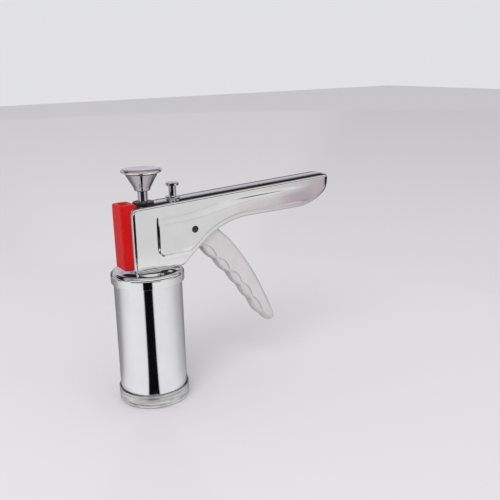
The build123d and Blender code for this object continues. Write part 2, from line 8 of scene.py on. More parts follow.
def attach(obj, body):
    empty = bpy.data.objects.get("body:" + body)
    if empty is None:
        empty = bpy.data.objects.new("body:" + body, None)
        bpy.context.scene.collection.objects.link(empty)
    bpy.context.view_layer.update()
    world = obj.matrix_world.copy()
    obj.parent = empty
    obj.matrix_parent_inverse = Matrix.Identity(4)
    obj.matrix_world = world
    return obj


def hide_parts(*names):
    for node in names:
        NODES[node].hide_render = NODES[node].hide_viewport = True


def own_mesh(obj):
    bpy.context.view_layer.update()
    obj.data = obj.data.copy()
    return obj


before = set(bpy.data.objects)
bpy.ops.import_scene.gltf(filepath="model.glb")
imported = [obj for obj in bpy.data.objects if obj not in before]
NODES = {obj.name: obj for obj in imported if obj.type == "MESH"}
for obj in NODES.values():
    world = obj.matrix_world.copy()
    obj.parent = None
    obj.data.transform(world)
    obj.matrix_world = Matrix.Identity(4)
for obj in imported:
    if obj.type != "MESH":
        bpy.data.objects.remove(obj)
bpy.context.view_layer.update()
MM = 0.001


def add_object(name, data):
    """Object with the given data, linked into the scene."""
    made = bpy.data.objects.new(name, data)
    bpy.context.scene.collection.objects.link(made)
    return made


# ---- camera ----
SENSOR_MM = 36.0
FRAME_PX = 500.0
FOCAL_PX = 700.0
CAMERA_PLACE = (-0.2105, -0.4928, 0.2689)
CAMERA_TURN = 31.88        # degrees that the view turns from +Y towards +X
CAMERA_DOWN = 15.55        # degrees that it looks down
CAMERA_ROLL = -1.25


def make_camera():
    """Camera from its place and three angles: heading, downward tilt and roll about the view."""
    turn, down, roll = (math.radians(a) for a in (CAMERA_TURN, CAMERA_DOWN, CAMERA_ROLL))
    ahead = Vector((math.sin(turn) * math.cos(down), math.cos(turn) * math.cos(down), -math.sin(down)))
    level = Vector((math.cos(turn), -math.sin(turn), 0))
    above = level.cross(ahead)
    right = level * math.cos(roll) + above * math.sin(roll)
    up = above * math.cos(roll) - level * math.sin(roll)
    data = bpy.data.cameras.new("camera")
    data.sensor_width = SENSOR_MM
    data.lens = FOCAL_PX / FRAME_PX * SENSOR_MM
    data.clip_start = 0.01
    data.clip_end = 20
    camera = add_object("camera", data)
    camera.matrix_world = Matrix((
        (right.x, up.x, -ahead.x, CAMERA_PLACE[0]),
        (right.y, up.y, -ahead.y, CAMERA_PLACE[1]),
        (right.z, up.z, -ahead.z, CAMERA_PLACE[2]),
        (0, 0, 0, 1)))
    bpy.context.scene.camera = camera


# ---- making meshes ----
def make_piece(name, points, groups, body, material):
    """Smooth mesh piece from an array of points in millimetres and a list of arrays of quads or triangles."""
    mesh = bpy.data.meshes.new(name)
    mesh.from_pydata((np.asarray(points) * MM).tolist(), [], [face for group in groups for face in group.tolist()])
    mesh.materials.append(material)
    mesh.polygons.foreach_set("use_smooth", np.ones(len(mesh.polygons), bool))
    mesh.update()
    piece = add_object(name, mesh)
    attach(piece, body)
    return piece


def grid_faces(index):
    """Quads between neighbours of a two-way array of point numbers."""
    return np.stack([index[:-1, :-1], index[1:, :-1], index[1:, 1:], index[:-1, 1:]], axis=-1).reshape(-1, 4)


def closed_loft(rings, first_pole, last_pole):
    """Skin through rings of points (ring, point, xyz), closed around and drawn together to a pole at each end."""
    rings = np.asarray(rings, float)
    count, around = rings.shape[:2]
    index = np.pad(np.arange(count * around).reshape(count, around), ((0, 0), (0, 1)), mode="wrap")
    points = np.concatenate([rings.reshape(-1, 3), [first_pole], [last_pole]])
    pole = np.full(around, count * around)
    first = np.stack([index[0, 1:], index[0, :-1], pole], axis=1)
    last = np.stack([index[-1, :-1], index[-1, 1:], pole + 1], axis=1)
    return points, [grid_faces(index)[:, ::-1], first, last]


def face_outward(points, faces):
    """Turns all faces over when the skin's enclosed volume comes out negative."""
    quads = faces[0]
    a, b, c, d = (points[quads[:, i]] for i in range(4))
    volume = np.einsum("ij,ij->i", a, np.cross(b, c)).sum() + np.einsum("ij,ij->i", a, np.cross(c, d)).sum()
    return [group[:, ::-1] for group in faces] if volume < 0 else faces


def loft_piece(name, rings, poles, body, material):
    """Closed skin through rings of points and their two poles, as a piece whose faces point outwards."""
    points, faces = closed_loft(rings, *poles)
    return make_piece(name, points, face_outward(points, faces), body, material)


def full_turn(count):
    """Angles of equal steps round a circle, in radians, without the last, which falls on the first."""
    return np.radians(np.linspace(0, 360, count + 1)[:-1])


def ease(value):
    """Smooth step from 0 to 1: three times the square less twice the cube."""
    value = np.clip(value, 0.0, 1.0)
    return value * value * (3 - 2 * value)


# ---- making materials ----
PATTERN_SPAN = (0.3, 0.7)      # part of a noise pattern's range that a number follows
COLOUR_SPAN = (0.35, 0.65)     # part of it over which one colour turns into the other


def add_node(owner, kind, *values, operation=None, **named):
    """Node in a material or the world.  Its inputs are given in order or by name, with an underscore for a space,
    and each is a plain value or the output of another node, which is linked."""
    node = owner.node_tree.nodes.new("ShaderNode" + kind)
    if operation:
        node.operation = operation
    for key, value in [*enumerate(values), *named.items()]:
        socket = node.inputs[key if isinstance(key, int) else key.replace("_", " ")]
        if isinstance(value, bpy.types.NodeSocket):
            owner.node_tree.links.new(value, socket)
        else:
            socket.default_value = value
    return node


def shader_input(material, name):
    """Input of a material's shader."""
    return material.node_tree.nodes["Principled BSDF"].inputs[name]


def feed(material, value, name):
    """Link an output to an input of the material's shader."""
    material.node_tree.links.new(value, shader_input(material, name))


def new_material(name, color, metallic, roughness, specular=0.5):
    """Material with one plain shader."""
    material = bpy.data.materials.new(name)
    material.use_nodes = True
    values = {"Base Color": (*color, 1), "Metallic": metallic, "Roughness": roughness, "Specular IOR Level": specular}
    for socket, value in values.items():
        shader_input(material, socket).default_value = value
    return material


def place_parts(owner, coordinates="Object"):
    """Node with the three coordinates of a place, or of a direction in the world."""
    return add_node(owner, "SeparateXYZ", add_node(owner, "TexCoord").outputs[coordinates])


def mapped_place(material, **values):
    """Object coordinates, scaled or turned by a Mapping node's values."""
    place = add_node(material, "TexCoord").outputs["Object"]
    return add_node(material, "Mapping", Vector=place, **values).outputs["Vector"]


def noise(material, stretch, detail, rough=0.5):
    """Noise pattern in object space, about 0 to 1; `stretch` is in waves per metre."""
    place = mapped_place(material, Scale=stretch)
    return add_node(material, "TexNoise", Vector=place, Scale=1.0, Detail=detail, Roughness=rough).outputs["Fac"]


def map_range(owner, value, start, end, low=0.0, high=1.0):
    """Value's range start..end mapped onto low..high."""
    node = add_node(owner, "MapRange", Value=value, From_Min=start, From_Max=end, To_Min=low, To_Max=high)
    return node.outputs["Result"]


def colour_ramp(owner, value, stops):
    """Colour ramp over a value; each stop is a place from 0 to 1 with a grey or a colour."""
    node = add_node(owner, "ValToRGB", value)
    elements = node.color_ramp.elements
    while len(elements) > 1:
        elements.remove(elements[-1])
    for number, (place, grey) in enumerate(stops):
        element = elements[0] if number == 0 else elements.new(place)
        element.position = place
        element.color = (*grey, 1) if isinstance(grey, tuple) else (grey, grey, grey, 1)
    return node.outputs["Color"]


def mottle(material, pattern, first, last):
    """Base colour that follows a pattern from one colour to another."""
    feed(material, colour_ramp(material, pattern, zip(COLOUR_SPAN, (first, last))), "Base Color")


def roughen(material, pattern, low, high):
    """Roughness that follows a pattern from low to high."""
    feed(material, map_range(material, pattern, *PATTERN_SPAN, low, high), "Roughness")


def add_bump(material, pattern, height):
    """Bump of `height` metres from a pattern, on top of any bump that is there."""
    below = {"Normal": link.from_socket for link in shader_input(material, "Normal").links}
    bump = add_node(material, "Bump", Strength=1.0, Distance=height, Height=pattern, **below)
    feed(material, bump.outputs["Normal"], "Normal")


def dress(node, material):
    """Put one material in every slot of a CAD node."""
    slots = NODES[node].material_slots
    for slot in slots:
        slot.material = material
    if not slots:
        NODES[node].data.materials.append(material)


def polished_steel(name, color, rough, waviness, grain):
    """Buffed plate: soft cloudy polish, faint rubbing marks and a slow waviness of the surface."""
    material = new_material(name, color, 1.0, rough)
    mottle(material, noise(material, (55, 55, 55), 4), tuple(c * 0.955 for c in color), color)
    roughen(material, noise(material, grain, 3), rough * 0.85, rough * 1.2)
    add_bump(material, noise(material, (26, 26, 26), 1), waviness)
    return material


def turned_steel(name, color, rough, streak, around=12, shade=0.80):
    """Turned or drawn steel: fine rings round the axis, seen as streaks in the polish."""
    material = new_material(name, color, 1.0, rough)
    rings = noise(material, (around, around, streak), 5, 0.7)
    mottle(material, rings, tuple(c * shade for c in color), color)
    roughen(material, rings, rough * 0.7, rough * 1.5)
    add_bump(material, rings, 0.00003)
    return material


def paint_highlight_above(material, height, factor):
    """Painted highlight: base colour times `factor` above a height in metres, over a short step."""
    step = 0.0002
    base = shader_input(material, "Base Color").links[0].from_socket
    above = map_range(material, place_parts(material).outputs["Z"], height - step, height + step, 1.0, factor)
    scaled = add_node(material, "VectorMath", base, Scale=above, operation="SCALE")
    feed(material, scaled.outputs["Vector"], "Base Color")


def waves_above(material, height, depth):
    """Slow hammered waves of the given depth, only above a height in metres."""
    above = map_range(material, place_parts(material).outputs["Z"], height, height + 0.0006)
    waves = add_node(material, "Math", noise(material, (75, 75, 20), 1), above, operation="MULTIPLY")
    add_bump(material, waves.outputs[0], depth)


# ---- finishes ----
KNOB_RIM, KNOB_PAINTED_HIGHLIGHT = 0.1846, 2.05     # the knob's rim and dish carry a painted highlight, their base colour brighter than the cone's painted shade
CAP_TOP, CAP_WAVES = 0.1078, 0.0009    # the cap's top is slightly uneven, its skirt is not

body_steel = polished_steel("body_steel", (0.81, 0.805, 0.81), 0.10, 0.00005, (90, 90, 500))
barrel_steel = polished_steel("barrel_steel", (0.80, 0.80, 0.82), 0.07, 0.00006, (300, 300, 40))
cap_steel = polished_steel("cap_steel", (0.80, 0.80, 0.81), 0.06, 0.00016, (80, 80, 80))
ring_steel = turned_steel("ring_steel", (0.78, 0.775, 0.78), 0.30, 420, 55, 0.42)
die_steel = turned_steel("die_steel", (0.62, 0.62, 0.63), 0.3, 200)
rod_steel = turned_steel("rod_steel", (0.66, 0.66, 0.68), 0.12, 700)
# knob: the cone's base colour is set darker than the other steel as painted shade, and above the rim it is scaled up
# again as a painted highlight
knob_steel = polished_steel("knob_steel", (0.46, 0.43, 0.455), 0.09, 0.0001, (200, 200, 60))
paint_highlight_above(knob_steel, KNOB_RIM, KNOB_PAINTED_HIGHLIGHT)
waves_above(cap_steel, CAP_TOP, CAP_WAVES)
pin_steel = polished_steel("pin_steel", (0.72, 0.72, 0.73), 0.09, 0.00004, (200, 200, 60))
plain_steel = turned_steel("plain_steel", (0.55, 0.55, 0.56), 0.3, 400)
cast_alloy = polished_steel("cast_alloy", (0.52, 0.52, 0.53), 0.42, 0.00005, (700, 700, 700))


def red_moulding():
    """Glossy red moulding with slightly uneven colour, faint sink marks and fine rubbing."""
    material = new_material("red_moulding", (0.60, 0.005, 0.006), 0.0, 0.24, specular=0.16)
    mottle(material, noise(material, (110, 110, 60), 3), (0.53, 0.003, 0.004), (0.61, 0.005, 0.005))
    roughen(material, noise(material, (400, 400, 200), 3), 0.20, 0.30)
    add_bump(material, noise(material, (60, 60, 30), 1), 0.00010)
    return material


def painted_reflection_black():
    """Near-black finish, half glossy, with a fine uneven polish: a painted reflection, the dark that the polished
    steel top collar mirrors put into its colour.
    """
    material = new_material("painted_reflection_black", (0.008, 0.008, 0.009), 0.0, 0.25, specular=0.3)
    roughen(material, noise(material, (600, 600, 600), 3), 0.18, 0.36)
    return material


def trigger_coat():
    """Off-white satin coat with a little unevenness and the finest orange peel."""
    material = new_material("trigger_coat", (0.66, 0.64, 0.63), 0.3, 0.22)
    mottle(material, noise(material, (70, 70, 70), 4), (0.67, 0.648, 0.645), (0.70, 0.676, 0.672))
    roughen(material, noise(material, (400, 400, 400), 3), 0.20, 0.25)
    add_bump(material, noise(material, (900, 900, 900), 2), 0.00002)
    return material


def blackened_pin():
    """Blackened steel with a fine uneven polish."""
    material = new_material("blackened_pin", (0.035, 0.035, 0.037), 0.6, 0.22)
    roughen(material, noise(material, (900, 900, 900), 3), 0.2, 0.4)
    return material


red = red_moulding()
# the top collar's near-black colour is a painted reflection on what is polished steel
black = painted_reflection_black()
coat = trigger_coat()
pin_black = blackened_pin()

FINISHES = {
    "die_ring": ring_steel, "sevai_die": die_steel, "barrel_tube": barrel_steel, "barrel_cap": cap_steel,
    "body_shell": body_steel, "front_cover": red, "top_collar": black, "mount_block": cast_alloy,
    "lower_bush": plain_steel, "bush_nut": plain_steel, "plunger_rod": rod_steel, "plunger_knob": knob_steel,
    "piston_disc": cast_alloy, "piston_nut": plain_steel, "trigger_lever": coat, "pivot_pin": pin_black,
    "pivot_spacer_near": plain_steel, "pivot_spacer_far": plain_steel, "drive_pawl": plain_steel,
    "pawl_pin": plain_steel, "release_pin": pin_steel, "release_sleeve": pin_steel, "lock_plate": plain_steel,
    "lock_ledge": plain_steel, "spring_seat": plain_steel, "lock_spring": rod_steel, "return_spring": rod_steel,
}
for node_name, finish in FINISHES.items():
    dress(node_name, finish)


# ---- pressed body ----
FOOT = 109.5               # height of the body's level foot
HALF = 12.0                # half its width
SHEET = 1.2                # thickness of the plate
FRONT_X, HEEL_X, END_X = -14.5, 27.8, 173.4     # front, back end of the foot, and handle's end
TOP_FRONT = 50.3           # height of the top face over the foot at the barrel's axis
TOP_RISE = 2.4             # degrees by which the top face rises towards the handle
TOP_SLOPE = math.tan(math.radians(TOP_RISE))
TOP_NORMAL = 90 + TOP_RISE
THROAT = (50.0, FOOT + 18.7)
HANDLE_START = (88.0, FOOT + 31.2)
HANDLE_TAIL = (140.0, FOOT + 31.9)
BEND = 2.2
CROWN_TILT = 11.5          # lean of the top face at its edges, in degrees
END_ROUND, END_BEND = 5.2, 8.2     # length and radius over which the plates draw in at the handle's end
END_FADE_FROM, END_FADE = 16.0, 8.0    # depth under the top where this begins, and height over which it grows
SEAM = 0.1                 # flat margin between a plate and its bend
FRONT_CORNER = 4.5
END_CORNER = 2.4
BEND_POINTS = 11           # points of a section's quarter circle
LIP_HALF = 9.4             # half the opening between the two lips
SLOT_HEAD = FOOT + 43.9
PANEL_FRONT, PANEL_EDGE, PANEL_TOP = 5.8, 4.6, 7.9
PANEL_FOOT = 10.8
PANEL_RAISE, PANEL_STEP, PANEL_CORNER = 1.1, 1.7, 4.5
# points of the lower edge's four parts, and of the top edge's two arcs
STRAIGHT_POINTS, THROAT_POINTS, HANDLE_POINTS, CURL_POINTS = 60, 90, 40, 120
FRONT_POINTS, END_POINTS = 40, 30
COLUMN_STEP, COLUMN_GAP = 2.6, 0.12    # usual and least distance between columns


def top_height(x):
    """Height of the sloping top face."""
    return FOOT + TOP_FRONT + TOP_SLOPE * x


def bezier(a, b, c, d, count):
    """Cubic curve from a to d that leaves towards b and arrives from c."""
    t = np.linspace(0, 1, count)[:, None]
    a, b, c, d = (np.array(p, float) for p in (a, b, c, d))
    return (1 - t) ** 3 * a + 3 * t * (1 - t) ** 2 * b + 3 * t * t * (1 - t) * c + t ** 3 * d


def arc(centre, radius, start, end, count):
    """Circular arc by its centre, radius and two angles in degrees."""
    t = np.radians(np.linspace(start, end, count))
    return np.stack([centre[0] + radius * np.cos(t), centre[1] + radius * np.sin(t)], axis=1)


def edge_normals(points, side):
    """Unit normals of a run of points, to its right (side 1) or left (side -1)."""
    run = np.gradient(points, axis=0)
    run /= np.linalg.norm(run, axis=1)[:, None]
    return np.stack([run[:, 1], -run[:, 0]], axis=1) * side


def lower_edge():
    """Lower outline from below the heel along the diagonal, the throat curve, the grip and the curled end."""
    throat, grip, tail = np.array(THROAT), np.array(HANDLE_START), np.array(HANDLE_TAIL)
    run = throat - np.array((HEEL_X, FOOT))
    along = run / np.linalg.norm(run)
    level = (tail - grip) / np.linalg.norm(tail - grip)
    end_low = np.array((END_X, top_height(END_X) - 4.0))
    curl = np.array((END_X - 2.4, tail[1] + 7.6))
    below = np.array((HEEL_X, FOOT)) - along * 6
    straight = below + np.linspace(0, 1, STRAIGHT_POINTS)[:-1, None] * (throat - below)
    handle = grip + np.linspace(0, 1, HANDLE_POINTS)[:-1, None] * (tail - grip)
    return np.concatenate([
        straight,
        bezier(throat, throat + along * 7.5, grip - level * 16, grip, THROAT_POINTS)[:-1],
        handle,
        bezier(tail, tail + level * 12, curl, end_low, CURL_POINTS)])


def upper_edge():
    """Top outline from the front corner's arc along the slope to the arc at the handle's end."""
    front_x, end_x = FRONT_X + FRONT_CORNER, END_X - END_CORNER
    front = arc((front_x, top_height(front_x) - FRONT_CORNER), FRONT_CORNER, 180, TOP_NORMAL, FRONT_POINTS)
    end = arc((end_x, top_height(end_x) - END_CORNER), END_CORNER, TOP_NORMAL, 0, END_POINTS)
    middle = front[-1] + np.linspace(0, 1, 60)[1:-1, None] * (end[0] - front[-1])
    return np.concatenate([front, middle, end])


def body_columns(low_in, top_in, x_first, x_last):
    """Places along the body where the plate is cut into columns: closer at corners, curves and the panel's step."""
    even = np.arange(x_first, x_last, COLUMN_STEP)
    step = PANEL_FRONT + np.linspace(-1.4, 6.5, 22)
    throat_end = STRAIGHT_POINTS + THROAT_POINTS
    throat = low_in[STRAIGHT_POINTS - 5:throat_end:5, 0]
    curl = low_in[throat_end + HANDLE_POINTS - 2::4, 0]
    corner = top_in[:FRONT_POINTS:4, 0]
    end = np.concatenate([top_in[-END_POINTS::3, 0], x_last - np.linspace(0.3, END_ROUND, 9)])
    cols = np.concatenate([even, step, throat, curl, corner, end, [x_first, x_last]])
    cols = np.unique(np.round(cols[(cols >= x_first) & (cols <= x_last)], 3))
    cols = cols[np.concatenate([[True], np.diff(cols) > COLUMN_GAP])]
    cols[-1] = x_last
    return cols


def end_round(x, z):
    """How far the plates draw in near the handle's upper end, and the lean they reach there in radians: an arc of
    radius END_BEND over the last END_ROUND millimetres, fading out further down the end."""
    upper = ease((z - top_height(x) + END_FADE_FROM) / END_FADE)
    along = np.clip(x - (END_X - BEND - SEAM - END_ROUND), 0, END_ROUND)
    return (END_BEND - np.sqrt(END_BEND ** 2 - along ** 2)) * upper, np.arcsin(along / END_BEND) * upper


def panel_rise(x, z, low_distance, top_distance):
    """Height of the embossed panel: inside its rounded outline, and along the handle falling to the top edge."""
    def soft_corner(a, b):
        """Lesser of two distances, and near the corner the distance inside a round of radius PANEL_CORNER."""
        both = (a < PANEL_CORNER) & (b < PANEL_CORNER)
        curved = PANEL_CORNER - np.hypot(PANEL_CORNER - a, PANEL_CORNER - b)
        return np.where(both, curved, np.minimum(a, b))
    front = x - PANEL_FRONT
    foot = np.minimum(low_distance - PANEL_EDGE, z - FOOT - PANEL_FOOT)
    top = top_distance - PANEL_TOP
    front = np.where(top < 6, soft_corner(front, top + 1.5), front)
    step_low = ease(soft_corner(front, foot) / PANEL_STEP + 0.5)
    along = ease((x - 25) / 70)
    soft_top = ease((top_distance - PANEL_TOP + 0.8 + 5.4 * along) / (14.0 - 4.0 * along))
    raised = PANEL_RAISE * (1 - 0.35 * ease((x - 40) / 110)) * (1 - ease((x - 116) / 40))
    return raised * step_low * soft_top


def edge_at(cols, edge, normals):
    """Heights and normals of an edge where it crosses the columns."""
    run = np.arange(len(edge))
    at = np.interp(cols, np.maximum.accumulate(edge[:, 0]), run)
    return np.interp(at, run, edge[:, 1]), np.stack([np.interp(at, run, side) for side in normals.T], axis=1)


def pressed_body():
    """Sheet body as one skin: each side is a grid of columns between the lower and upper edges, set in by the
    bend's radius; from its rim a section turns through a quarter circle, crosses to the other side and turns back.
    The skin is open at the foot and along the trigger's slot, where only two narrow lips are left."""
    inset = BEND + SEAM
    low, top = lower_edge(), upper_edge()
    low_n, top_n = edge_normals(low, 1), edge_normals(top, -1)
    low_in, top_in = low - low_n * inset, top - top_n * inset
    x_first, x_last = FRONT_X + inset, END_X - inset
    cols = body_columns(low_in, top_in, x_first, x_last)
    low_z, low_normal = edge_at(cols, low_in, low_n)
    heel = int(np.argmax(low_z > FOOT + 0.01)) - 1
    heel_x = np.interp(FOOT, low_in[:STRAIGHT_POINTS, 1], low_in[:STRAIGHT_POINTS, 0])
    cols[heel] = heel_x
    low_z[:heel + 1] = FOOT
    low_normal[heel] = low_normal[heel + 1]
    top_z, top_normal = edge_at(cols, top_in, top_n)
    top_z[-1] = max(top_z[-1], low_z[-1] + 0.5)

    # rows, by distance from the lower and the upper edge
    low_rows = np.array([0, 0.7, 1.3, 1.6, 1.85, 2.1, 2.35, 2.6, 2.85, 3.15, 3.6, 4.4])
    top_rows = np.array([0, 2.0, 4.1, 4.7, 5.0, 5.3, 5.6, 5.9, 6.2, 6.5, 7.1, 8.0])
    lean = np.clip(1 / np.maximum(-low_normal[:, 1], 0.3), 1, 1.45)
    lean[:heel + 1] = 1.0
    height = top_z - low_z
    low_band = low_rows * lean[:, None]
    # over the foot the close rows move up to where the panel's step runs
    foot_lift = PANEL_FOOT - 2.3
    foot_shift = foot_lift * (1 - ease((cols - (heel_x - 1.0)) / 9.0))
    foot_shift[:heel + 1] = foot_lift
    low_band = low_band + foot_shift[:, None] * (low_rows / 2.35).clip(0, 1) ** 2
    scale = np.minimum(1, height / (low_band[:, -1] + top_rows[-1] + 3.0))
    low_band = low_band * scale[:, None]
    top_band = top_rows * scale[:, None]
    middle = np.linspace(0, 1, 14)[1:-1]
    start, stop = low_z + low_band[:, -1], top_z - top_band[:, -1]
    z = np.concatenate([low_z[:, None] + low_band, start[:, None] + (stop - start)[:, None] * middle,
                        (top_z[:, None] - top_band)[:, ::-1]], axis=1)
    x = np.repeat(cols[:, None], z.shape[1], axis=1)
    distance = np.min(np.hypot(x[..., None] - low[::2, 0], z[..., None] - low[::2, 1]), axis=-1)
    rise = panel_rise(x, z, distance, top_height(x) - z)
    rise[[0, -1]] = 0
    rise[:, [0, -1]] = 0

    count, rows = x.shape
    number = np.arange(count * rows).reshape(count, rows)
    drawn_in = end_round(x, z)[0]
    near = np.stack([x, drawn_in - HALF - rise, z], axis=-1).reshape(-1, 3)
    far = np.stack([x, HALF + rise - drawn_in, z], axis=-1).reshape(-1, 3)
    # rim of the plate from the heel round the end and the top to the foot of the front
    rim_ids = np.concatenate([number[heel:, 0], number[-1, 1:], number[-2::-1, -1], number[0, -2::-1]])
    ahead = np.tile((1.0, 0.0), (rows - 1, 1))
    rim_n = np.concatenate([low_normal[heel:], ahead, top_normal[-2::-1], -ahead])
    flat = near[rim_ids][:, [0, 2]]
    # a section's first quarter ends where the crowned top takes over, leaning by the crown's edge angle
    crowned = (rim_n[:, 1] > 0.9) * ease((END_X - 1 - flat[:, 0]) / 5)
    tilt = np.radians(CROWN_TILT) * crowned * ease((flat[:, 0] - FRONT_X) / 8)
    drawn_in, lean_in = end_round(flat[:, 0], flat[:, 1])
    half = (HALF - drawn_in)[:, None]
    start = (lean_in * np.clip(rim_n[:, 0], 0, 1))[:, None]
    bend = BEND / (1 - np.sin(start))
    turn = start + ((math.pi / 2 - tilt)[:, None] - start) * np.linspace(0, 1, BEND_POINTS)
    half_top = half - bend * (np.cos(start) - np.cos(turn[:, -1:]))
    rise = half_top * np.tan(tilt)[:, None] / 2
    middle_y = np.array([-LIP_HALF, -8, -6, -3.5, -1.2, 1.2, 3.5, 6, 8, LIP_HALF])
    middle_y = middle_y * np.minimum(1, (half_top - 0.4) / LIP_HALF)
    arc_out = SEAM + bend * (np.sin(turn) - np.sin(start))
    arc_y = half - bend * (np.cos(start) - np.cos(turn))
    crown_out = arc_out[:, -1:] + rise * (1 - (middle_y / half_top) ** 2)
    out = np.concatenate([arc_out, crown_out, arc_out[:, ::-1]], axis=1)
    across = np.concatenate([-arc_y, middle_y, arc_y[:, ::-1]], axis=1)
    ring = flat[:, None] + rim_n[:, None] * out[..., None]
    below = FOOT - ring[..., 1]
    slide = np.where(np.abs(rim_n[:, 1]) > 0.3, -rim_n[:, 1] / np.maximum(np.abs(rim_n[:, 0]), 0.2), 0)
    ring[..., 0] += np.where(below > 0, below * slide[:, None], 0)
    ring[..., 1] = np.maximum(ring[..., 1], FOOT)
    section = np.stack([ring[..., 0], across, ring[..., 1]], axis=-1)
    base = 2 * count * rows
    inner = base + np.arange(section.shape[0] * section.shape[1]).reshape(section.shape[:2])
    index = np.concatenate([rim_ids[:, None], inner, rim_ids[:, None] + count * rows], axis=1)
    quads = grid_faces(index)
    # the slot takes the spans between the lips out of every section of the lower edge below its head
    slotted = np.zeros(len(rim_ids) - 1, bool)
    lower_run = len(number[heel:, 0])
    slotted[:lower_run] = ring[:lower_run, BEND_POINTS + 1, 1] < SLOT_HEAD
    span = np.arange(index.shape[1] - 1) - (BEND_POINTS + 1)
    gap = (span >= 0) & (span < middle_y.shape[1] - 1)
    quads = quads[~(slotted[:, None] & gap).reshape(-1)]
    side = grid_faces(number)
    faces = np.concatenate([side, side[:, ::-1] + count * rows, quads[:, ::-1]])
    points = np.concatenate([near, far, section.reshape(-1, 3)])
    piece = make_piece("pressed_body", points, [faces], "body", body_steel)
    wall = piece.modifiers.new("sheet", "SOLIDIFY")
    wall.thickness = SHEET * MM
    wall.offset = -1
    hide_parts("body_shell")


pressed_body()


# ---- barrel cap ----
RING_SIDES, KNOB_SIDES, PIN_SIDES = 180, 144, 48     # points round the turned pieces


def tight_corners(profile, gap=0.04, longest=0.8):
    """Closed profile with a point added close to both ends of every long side, so that its flats stay flat."""
    out = []
    for here, following in zip(profile, profile[1:] + profile[:1]):
        here, following = np.array(here, float), np.array(following, float)
        out.append(here)
        length = np.linalg.norm(following - here)
        if length > longest:
            step = (following - here) / length * gap
            out.extend([here + step, following - step])
    return np.array(out)


def turned_rings(profile, sides):
    """Circles about the upright axis, one for each radius and height of a profile."""
    turn = full_turn(sides)
    r, z = np.asarray(profile, float).T[..., None]
    return np.stack([r * np.cos(turn), r * np.sin(turn), z + 0 * turn], axis=-1)


def turned_ring(name, profile, body, material):
    """Ring turned about the barrel's axis from a closed profile of radius and height."""
    rings = turned_rings(tight_corners(profile), RING_SIDES)
    index = np.arange(len(rings) * RING_SIDES).reshape(rings.shape[:2])
    points, faces = rings.reshape(-1, 3), [grid_faces(np.pad(index, ((0, 1), (0, 1)), mode="wrap"))]
    return make_piece(name, points, face_outward(points, faces), body, material)


def cap_skin():
    """Cap of the barrel: a skirt, a generously rounded shoulder, an almost level top and a low boss in the middle,
    with a channel round the inside of the skirt for the barrel's lugs."""
    shoulder = arc((25.9, 105.4), 3.0, 0, 90, 16).tolist()
    boss = [(25.9 - 6.9 * t, 108.4 + 1.1 * float(ease(t))) for t in np.linspace(0.1, 1, 12)]
    profile = ([(6.05, 102.8), (27.15, 102.8), (27.15, 100.3), (28.2, 100.3), (28.2, 99.3), (28.7, 99.3), (28.9, 99.5)]
               + shoulder + boss + [(6.05, 109.5)])
    piece = turned_ring("cap_skin", profile, "body", cap_steel)
    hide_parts("barrel_cap")


# ---- ring and knob ----
def ring_skin():
    """Screw ring: a rolled lip at the top, a shallow neck below it, a plain band and a rounded foot that turns in
    to carry the die."""
    outside = [(27.25, 11.3), (27.8, 11.3), (28.1, 11.15), (28.3, 10.85), (28.35, 10.5), (28.25, 10.15),
               (28.05, 9.8), (27.95, 9.4), (28.0, 9.0), (28.2, 8.7), (28.3, 8.3), (28.35, 7.4), (28.35, 5.2),
               (28.3, 4.3), (28.15, 3.9), (28.0, 3.6), (28.05, 3.3), (28.25, 3.0), (28.35, 2.5), (28.3, 1.8),
               (28.1, 1.1), (27.7, 0.5), (27.2, 0.15), (26.5, 0.0)]
    profile = [(22.5, 0.0), (22.5, 2.2), (27.1, 2.2), (27.1, 11.2)] + outside
    piece = turned_ring("ring_skin", profile, "outlet_ring", ring_steel)
    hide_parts("die_ring")


def knob_skin():
    """Knob turned about the barrel's axis: a straight cone, a short flare under the rim, the rim as a half round
    bead and the top as a shallow dish."""
    foot = FOOT + 61.2
    bead = arc((14.55, foot + 15.35), 1.15, -78, 96, 14)
    dish = [(13.2 * t, foot + 16.35 - 0.8 * (1 - t * t)) for t in np.linspace(1, 0.06, 12)]
    profile = ([(4.9, 0.0), (5.6, 0.15), (6.1, 0.6), (6.35, 1.3), (6.5, 2.2)]
               + [(6.5 + 6.0 * t, 2.2 + 10.6 * t) for t in np.linspace(0.04, 1, 14)]
               + [(12.65, 13.15), (12.95, 13.5), (13.4, 13.8), (14.0, 14.0)])
    profile = [(r, foot + z) for r, z in profile] + bead.tolist() + dish
    poles = (0, 0, foot), (0, 0, foot + 15.55)
    piece = loft_piece("knob_skin", turned_rings(profile, KNOB_SIDES), poles, "plunger", knob_steel)
    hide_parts("plunger_knob")


# ---- red front cover ----
COVER_FOOT, COVER_HEAD = FOOT + 2.0, FOOT + TOP_FRONT + 2.4
COVER_BACK = FRONT_X + 0.05
COVER_HOLE = (-17.4, 0.0)
COVER_HOLE_X, COVER_HOLE_Y = 2.7, 4.2
COVER_EDGE = 1.5


def rounded_plan(back, front, half_back, half_front, ridge):
    """Dense plan of the cover: four straight sides joined by arcs, the two at the front being the ridges."""
    corners = np.array([(back, -half_back), (front, -half_front), (front, half_front), (back, half_back)])
    radii = (1.1, ridge, ridge, 1.1)
    run = []
    for i, radius in enumerate(radii):
        here, last, following = corners[i], corners[i - 1], corners[(i + 1) % 4]
        a, b = (last - here) / np.linalg.norm(last - here), (following - here) / np.linalg.norm(following - here)
        half = math.acos(np.clip(a @ b, -1, 1)) / 2
        cut = radius / math.tan(half)
        centre = here + (a + b) / np.linalg.norm(a + b) * radius / math.sin(half)
        first, last_point = here + a * cut - centre, here + b * cut - centre
        t = np.linspace(0, 1, 24)[:, None]
        ray = first * (1 - t) + last_point * t
        run.append(centre + ray / np.linalg.norm(ray, axis=1)[:, None] * radius)
    return np.concatenate(run)


